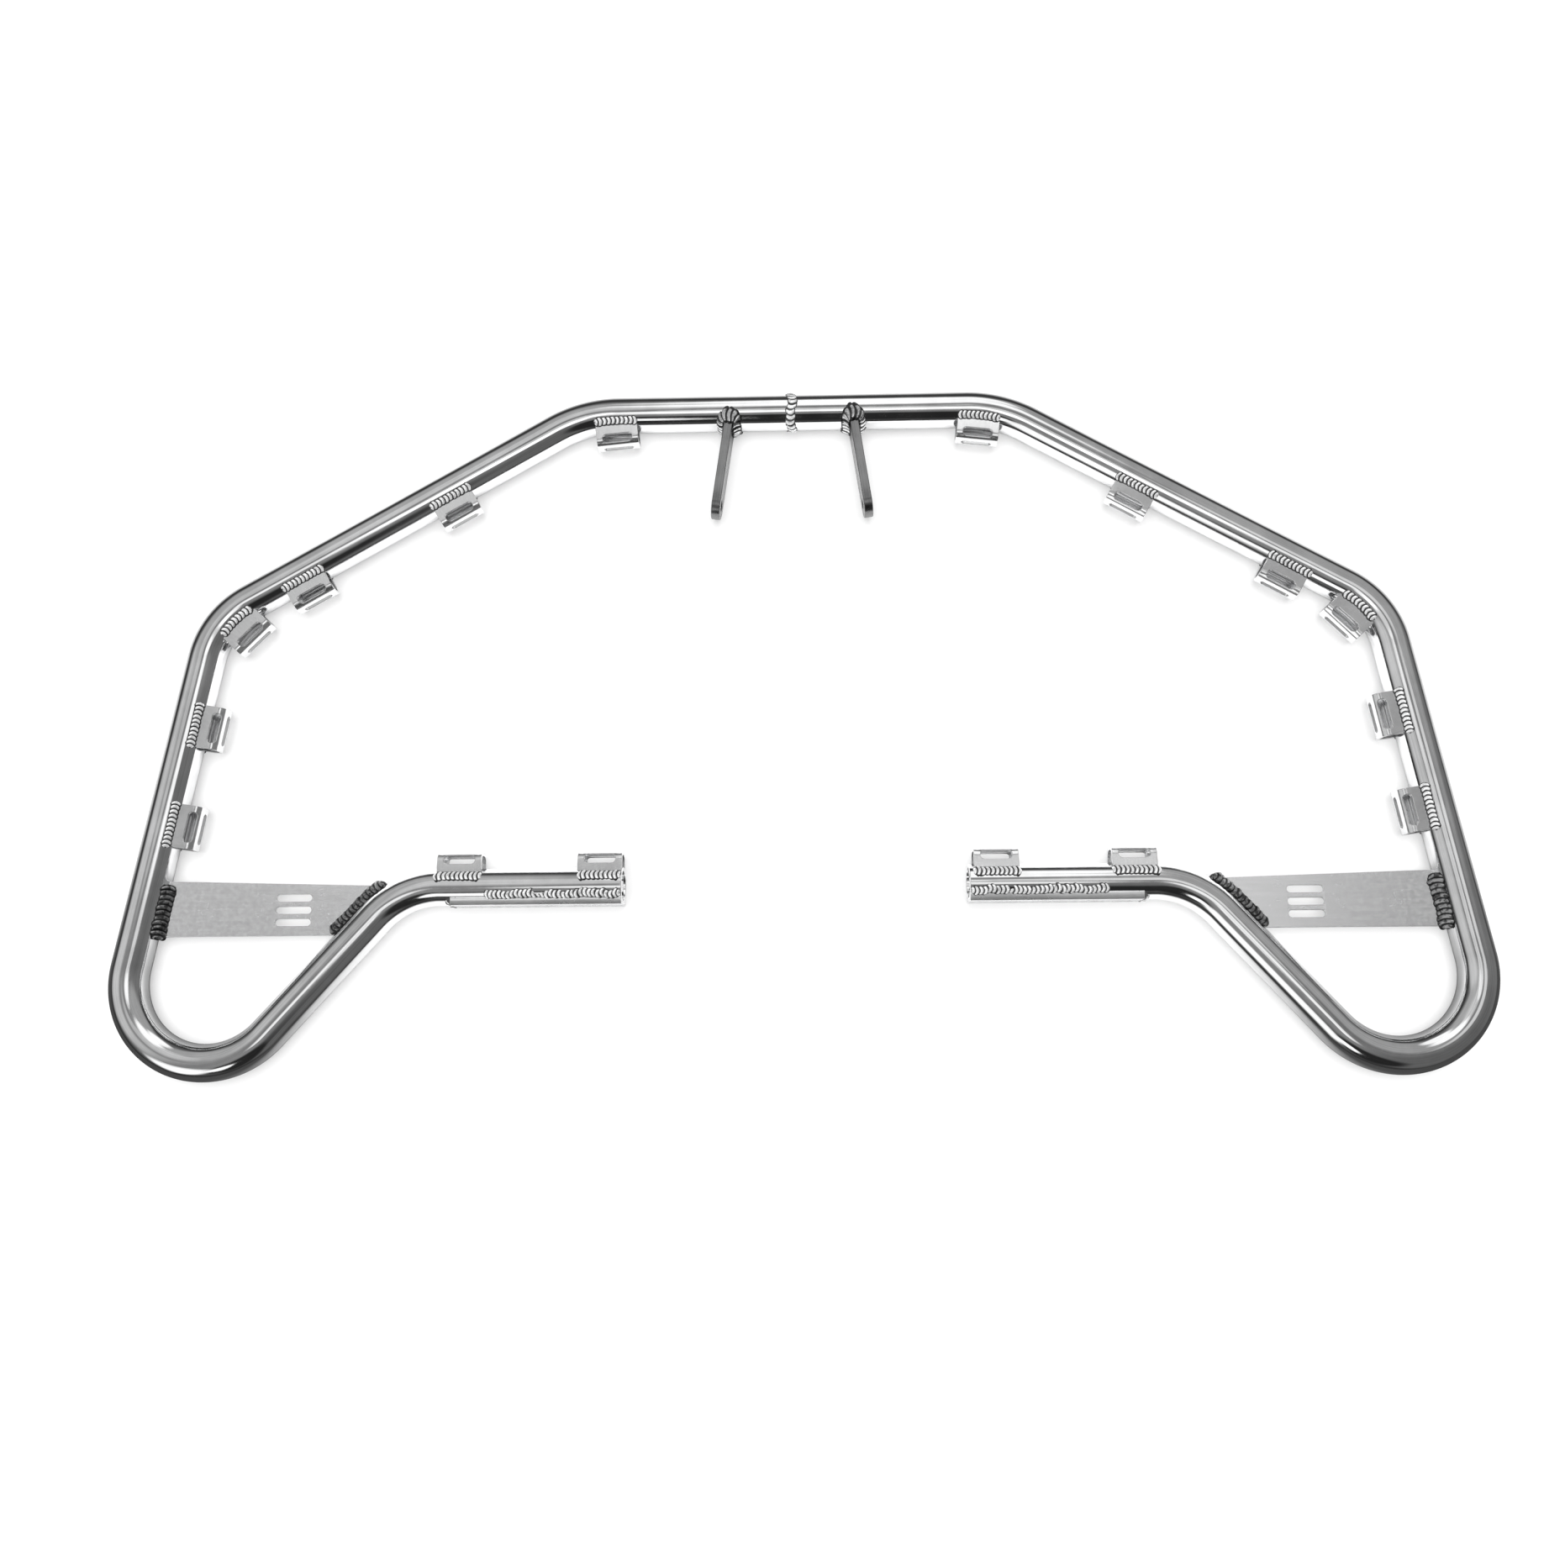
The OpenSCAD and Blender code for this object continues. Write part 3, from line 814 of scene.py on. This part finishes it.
def worked_aluminium(name, bright, dull, rough, streaks, streak_depth, scratches, blotch_scale=45,
                     ribs=0.0, metallic=1.0):
    """Bare aluminium with streaks along its working direction. bright and dull are the two ends of its
    colour, rough the two ends of its roughness, streaks the frequencies of the streaks along each axis
    of lay, and scratches the strength of the fine scratches. ribs is the depth of long, shallow waves
    that break up the reflections. Under 1, metallic leaves a paler, duller surface."""
    material, n, shader = new_material(name)
    lay = n.add("ShaderNodeAttribute", attribute_name="lay").outputs["Vector"]
    streak = n.noise(n.scaled(lay, streaks), 1.0, 4.0, 0.6)
    blotch = n.noise(lay, blotch_scale, 4.0, 0.6)
    cells = n.add("ShaderNodeTexVoronoi", feature="DISTANCE_TO_EDGE")
    cells.inputs["Scale"].default_value = 1.0
    warped = n.add("ShaderNodeVectorMath", operation="ADD")
    n.link(n.scaled(lay, (40, 160, 90)), warped.inputs[0])
    n.link(n.noise(lay, 60, 2.0), warped.inputs[1])
    n.link(warped.outputs["Vector"], cells.inputs["Vector"])
    line = n.remap(cells.outputs["Distance"], 0.0, 0.02, 1.0, 0.0)
    patchy = n.remap(n.noise(lay, 30, 2.0), 0.52, 0.66, 0.0, scratches)
    scratch = n.math("MULTIPLY", line, patchy)
    average = n.math("MULTIPLY", n.math("ADD", streak, blotch), 0.5)
    colour = n.mix(n.remap(average, 0.35, 0.65, 0.0, 1.0), grey(dull), grey(bright))
    n.link(n.mix(scratch, colour, grey(min(1.0, bright + 0.08))), shader.inputs["Base Color"])
    plain_roughness = n.remap(blotch, 0.3, 0.7, *rough)
    roughness = n.math("ADD", plain_roughness, n.math("MULTIPLY", scratch, 0.15))
    n.link(roughness, shader.inputs["Roughness"])
    shader.inputs["Metallic"].default_value = metallic
    fine = n.bump(streak, 0.6, streak_depth)
    if ribs:
        fine = n.bump(n.noise(n.scaled(lay, (1.2, 190, 190)), 1.0, 2.0), 1.0, ribs, fine)
    n.link(n.bump(scratch, 0.5, -2e-5, fine), shader.inputs["Normal"])
    return material


def weld_metal(name, crest, valley, rough, soot, metallic=1.0):
    """Weld bead: bright crests, dark valleys of painted shade, and soot in patches. crest and valley are
    grey levels, valley being the painted shade, rough the two ends of the roughness, and soot how far the
    patches spread."""
    material, n, shader = new_material(name)
    place = n.add("ShaderNodeTexCoord").outputs["Object"]
    valley_shade = n.add("ShaderNodeAttribute", attribute_name="valley_shade").outputs["Fac"]
    grain = n.noise(place, 900, 4.0, 0.6)
    patch = n.noise(place, 260, 3.0)
    # Painted shade: a bead's valleys and edges take the dark valley grey.
    depth = n.remap(valley_shade, 0.15, 0.75, 0.0, 1.0)
    colour = n.mix(depth, grey(crest), grey(valley))
    sooty = n.remap(patch, 0.55 - 0.25 * soot, 0.75 - 0.25 * soot, 0.0, min(1.0, 0.35 + soot))
    n.link(n.mix(sooty, colour, grey(valley * 0.6)), shader.inputs["Base Color"])
    n.link(n.remap(grain, 0.3, 0.7, *rough), shader.inputs["Roughness"])
    shader.inputs["Metallic"].default_value = metallic
    n.link(n.bump(grain, 0.5, 6e-5), shader.inputs["Normal"])
    return material


POLISHED = worked_aluminium(
    "polished_aluminium", 0.95, 0.76, (0.05, 0.12), (6, 1400, 1400), 4e-6, 0.35,
    blotch_scale=30, ribs=1.2e-4,
)
SATIN_SHEET = worked_aluminium(
    "satin_sheet", 0.88, 0.80, (0.13, 0.20), (120, 900, 120), 6e-6, 0.35, metallic=0.96
)
MILL_PLATE = worked_aluminium(
    "mill_plate", 0.78, 0.70, (0.17, 0.25), (25, 1300, 300), 1e-5, 0.45,
    blotch_scale=300, metallic=0.80,
)
BRUSHED_BAR = worked_aluminium("brushed_bar", 0.30, 0.16, (0.24, 0.34), (20, 1500, 1500), 1.2e-5, 0.3)
MILL_RAIL = worked_aluminium(
    "mill_rail", 0.82, 0.66, (0.20, 0.38), (25, 1100, 1100), 1.2e-5, 0.8, metallic=0.6
)
SILVER_WELD = weld_metal("silver_weld", 0.98, 0.04, (0.14, 0.30), 0.05, metallic=0.55)
DARK_WELD = weld_metal("dark_weld", 0.55, 0.06, (0.25, 0.45), 0.5)
COLLAR_WELD = weld_metal("collar_weld", 0.80, 0.06, (0.16, 0.34), 0.3)
ROUGH_WELD = weld_metal("rough_weld", 0.95, 0.06, (0.16, 0.34), 0.15, metallic=0.5)


# ---- Building the bar ----

def seeded(number, side=0):
    """A random source that always draws the same numbers."""
    return np.random.default_rng(10 * number + side + 1)


def build_tubes():
    verts, faces, lay = tube_mesh()
    faces = face_outwards(verts, faces)
    for name, side in SIDES.items():
        make_piece(
            f"polished_tube_{name}", side, verts, faces, POLISHED,
            f"tube_{name}", lay,
        )


def build_tabs():
    """Every tab and its beads. Each tab's lay is moved, so that no two show the same streaks."""
    for name, side in SIDES.items():
        for k, tab in enumerate(TAB_NAMES):
            place = tab_place(tab, side)
            reach = TAB_REACHES.get(tab, TAB_REACH)
            start = TAB_START_CORNER if tab == "corner" else TAB_START
            sheet, faces = tab_sheet(reach, start)
            verts = place_tab(fold(sheet, reach), place)
            lay = sheet + [100 * k, 500 * side, 0]
            piece = make_piece(
                f"folded_tab_{tab}_{name}", side, verts, face_outwards(verts, faces), SATIN_SHEET,
                f"tab_{tab}_{name}", lay,
            )
            keep_flats_flat(piece)
            verts, bead_faces, valley_shade = tab_beads(tab, place[2], seeded(k, side))
            make_piece(
                f"bead_tab_{tab}_{name}", side, verts, bead_faces, SILVER_WELD,
                f"weld_tab_{tab}_{name}", valley_shade=valley_shade,
            )


def side_run_s(drop):
    """Distance along the centreline where the side run is that far below the top run's axis."""
    return leg_s(2, (drop + CORNERS[2][1]) / -math.sin(heading_angle(2)))


def build_heel_plates():
    verts, faces, lay = heel_plate()
    bead_spans = (
        ("side", side_run_s(PLATE_DROP_OUTER + 1), side_run_s(PLATE_DROP_LOWER)),
        ("diagonal", RUNS[7][0] - 34, bend_s(4, 16.5)),
    )
    for name, side in SIDES.items():
        piece = make_piece(
            f"louvred_plate_{name}", side, verts, faces, MILL_PLATE,
            f"heel_plate_{name}", lay,
        )
        keep_flats_flat(piece)
        for run, start, end in bead_spans:
            bead, bead_faces, valley_shade = plate_beads(start, end, seeded(20 + len(run), side))
            make_piece(
                f"bead_plate_{run}_{name}", side, bead, bead_faces, DARK_WELD,
                f"weld_plate_{run}_{name}", valley_shade=valley_shade,
            )


def build_prongs():
    verts, faces, lay = prong_bar()
    for name, side in SIDES.items():
        piece = make_piece(
            f"prong_bar_{name}", side, verts, faces, BRUSHED_BAR,
            f"prong_{name}", lay,
        )
        keep_flats_flat(piece)
        collar, collar_faces, valley_shade = prong_collar(seeded(30, side))
        make_piece(
            f"collar_prong_{name}", side, collar, collar_faces, COLLAR_WELD,
            f"weld_prong_{name}", valley_shade=valley_shade,
        )


def build_rails():
    verts, faces, lay = rail_bar()
    for name, side in SIDES.items():
        piece = make_piece(
            f"rail_bar_{name}", side, verts, faces, MILL_RAIL,
            f"mounting_rail_{name}", lay,
        )
        keep_flats_flat(piece)
        bead, bead_faces, valley_shade = rail_beads(seeded(40, side))
        make_piece(
            f"bead_rail_{name}", side, bead, bead_faces, ROUGH_WELD,
            f"weld_rail_{name}", valley_shade=valley_shade,
        )


def build_centre_bead():
    verts, faces, valley_shade = centre_bead(seeded(50))
    make_piece(
        "bead_centre_joint", 1, verts, faces, ROUGH_WELD,
        "weld_centre", valley_shade=valley_shade,
    )


build_tubes()
build_tabs()
build_heel_plates()
build_prongs()
build_rails()
build_centre_bead()


# ---- Floor, light and camera ----

WHITE = (0.97, 0.97, 0.97)


def build_floor():
    """Pale floor. Seen directly it is close to white, with faint shadows near the bar and none far away.
    As a reflection it has a painted pool of light: its colour is bright inside the frame and falls off
    outside it, which leaves painted shade in the metal's outer sides. Distances from the middle are
    measured in pool sizes, which differ in X and Y."""
    half = 12.0
    pool_x, pool_y = 0.62, 0.36
    mesh = bpy.data.meshes.new("floor")
    corners = [(-half, -half, 0), (half, -half, 0), (half, half, 0), (-half, half, 0)]
    mesh.from_pydata(corners, [], [(0, 1, 2, 3)])
    floor = bpy.data.objects.new("floor", mesh)
    bpy.context.scene.collection.objects.link(floor)
    floor.location.z = CAD_LOW.z
    material = bpy.data.materials.new("pale_floor")
    material.use_nodes = True
    n = Nodes(material.node_tree)
    n.tree.nodes.clear()
    place = n.add("ShaderNodeTexCoord").outputs["Object"]
    away = n.add("ShaderNodeVectorMath", operation="LENGTH")
    n.link(n.scaled(place, (1 / pool_x, 1 / pool_y, 0)), away.inputs[0])
    # Painted pool of light: the floor as reflections see it is pale inside the frame and dark outside.
    painted_pool_falloff = n.remap(away.outputs["Value"], 0.75, 1.25, 0.0, 1.0)
    lit = n.add("ShaderNodeBsdfDiffuse")
    n.link(n.mix(painted_pool_falloff, (0.86, 0.86, 0.86), (0.05, 0.05, 0.05)), lit.inputs["Color"])
    far = n.remap(away.outputs["Value"], 3.0, 8.0, 0.0, 1.0)
    shown = n.add("ShaderNodeBsdfDiffuse")
    n.link(n.mix(far, (0.44, 0.44, 0.44), (0, 0, 0)), shown.inputs["Color"])
    glow = n.add("ShaderNodeEmission")
    n.link(n.mix(far, (0.50, 0.50, 0.50), WHITE), glow.inputs["Color"])
    pale = n.add("ShaderNodeAddShader")
    n.link(shown.outputs[0], pale.inputs[0])
    n.link(glow.outputs[0], pale.inputs[1])
    path = n.add("ShaderNodeLightPath")
    chosen = n.add("ShaderNodeMixShader")
    n.link(path.outputs["Is Camera Ray"], chosen.inputs["Fac"])
    n.link(lit.outputs[0], chosen.inputs[1])
    n.link(pale.outputs[0], chosen.inputs[2])
    output = n.add("ShaderNodeOutputMaterial")
    n.link(chosen.outputs[0], output.inputs["Surface"])
    mesh.materials.append(material)


# Bright and dark places in the room as the metal sees it: azimuth, elevation, and the half-angles where
# each is at its full level and where it ends, all in degrees, then its level
ROOM_PATCHES = (
    (0, 35, 25, 50, 0.17),
    (-45, 35, 20, 40, 0.13),
    (-90, 35, 18, 28, 0.02),
    (176, 38, 12, 30, 0.60),
    (50, 40, 20, 35, 0.36),
    (125, 42, 15, 30, 0.42),
    (140, 69, 6, 12, 0.55),
    (118, 60, 8, 16, 0.62),
    (-130, 30, 10, 20, 1.25),
    (-106, 36, 7, 10, 1.2),
    (84, 35, 8, 15, 1.2),
    (84, 55, 8, 15, 1.2),
    (25, 74, 5, 10, 0.75),
    (-60, 77, 5, 9, 1.0),
    (-120, 77, 5, 9, 1.0),
)


def build_room():
    """White where the camera looks past the floor, and dim with bright places for everything else."""
    world = bpy.data.worlds.new("studio")
    bpy.context.scene.world = world
    world.use_nodes = True
    n = Nodes(world.node_tree)
    n.tree.nodes.clear()
    direction = n.add("ShaderNodeTexCoord").outputs["Generated"]
    up = n.add("ShaderNodeSeparateXYZ")
    n.link(direction, up.inputs[0])
    rise = n.remap(up.outputs["Z"], 0.05, 0.6, 0.0, 1.0)
    colour = n.mix(rise, (0.035, 0.035, 0.035), (0.24, 0.24, 0.24))
    for azimuth, elevation, inner, outer, level in ROOM_PATCHES:
        a, e = math.radians(azimuth), math.radians(elevation)
        dot = n.add("ShaderNodeVectorMath", operation="DOT_PRODUCT")
        n.link(direction, dot.inputs[0])
        dot.inputs[1].default_value = (math.cos(e) * math.cos(a), math.cos(e) * math.sin(a), math.sin(e))
        near = math.cos(math.radians(inner))
        far = math.cos(math.radians(outer))
        colour = n.mix(n.remap(dot.outputs["Value"], far, near, 0.0, 1.0), colour, (level, level, level))
    path = n.add("ShaderNodeLightPath")
    shown = n.mix(path.outputs["Is Camera Ray"], colour, WHITE)
    background = n.add("ShaderNodeBackground")
    n.link(shown, background.inputs["Color"])
    output = n.add("ShaderNodeOutputWorld")
    n.link(background.outputs[0], output.inputs["Surface"])


def add_area_light(name, height, size, power, mirrored):
    """A disc of light above the bar, pointing down. A mirrored one shows only as a reflection in the
    metal, and the other kind lights only the floor and the dull share of the metal."""
    light = bpy.data.lights.new(name, "AREA")
    light.shape = "DISK"
    light.size = size
    light.energy = power
    lamp = bpy.data.objects.new(name, light)
    bpy.context.scene.collection.objects.link(lamp)
    lamp.location.z = height
    lamp.visible_camera = False
    lamp.visible_diffuse = not mirrored
    lamp.visible_glossy = mirrored


def build_camera():
    """A camera above the near side of the bar, looking almost straight down. Its place is given in
    millimetres from the middle of the top run."""
    image_long_side = 1866
    focal_px = 1500
    pitch, yaw, roll = math.radians(78.85), math.radians(6.19), math.radians(-6.71)
    from_top_run = np.array([12.4, -557.9, 1072.9])
    turned = Matrix.Rotation(yaw, 3, "Z")
    right = turned @ Vector((1, 0, 0))
    forward = turned @ Vector((0, math.cos(pitch), -math.sin(pitch)))
    up = turned @ Vector((0, math.sin(pitch), math.cos(pitch)))
    rolled_right = right * math.cos(roll) + up * math.sin(roll)
    rolled_up = up * math.cos(roll) - right * math.sin(roll)
    data = bpy.data.cameras.new("camera")
    data.sensor_width = 36
    data.lens = focal_px / image_long_side * data.sensor_width
    data.clip_start = 0.01
    camera = bpy.data.objects.new("camera", data)
    bpy.context.scene.collection.objects.link(camera)
    axes = Matrix((rolled_right, rolled_up, -forward)).transposed()
    place = Vector((from_top_run + ORIGIN) * MM)
    camera.matrix_world = Matrix.Translation(place) @ axes.to_4x4()
    bpy.context.scene.camera = camera


build_floor()
build_room()
add_area_light("overhead", height=6.0, size=6.5, power=500, mirrored=False)
add_area_light("reflected_lamp", height=2.4, size=1.0, power=1.05, mirrored=True)
build_camera()
bpy.context.scene.view_settings.view_transform = "Standard"
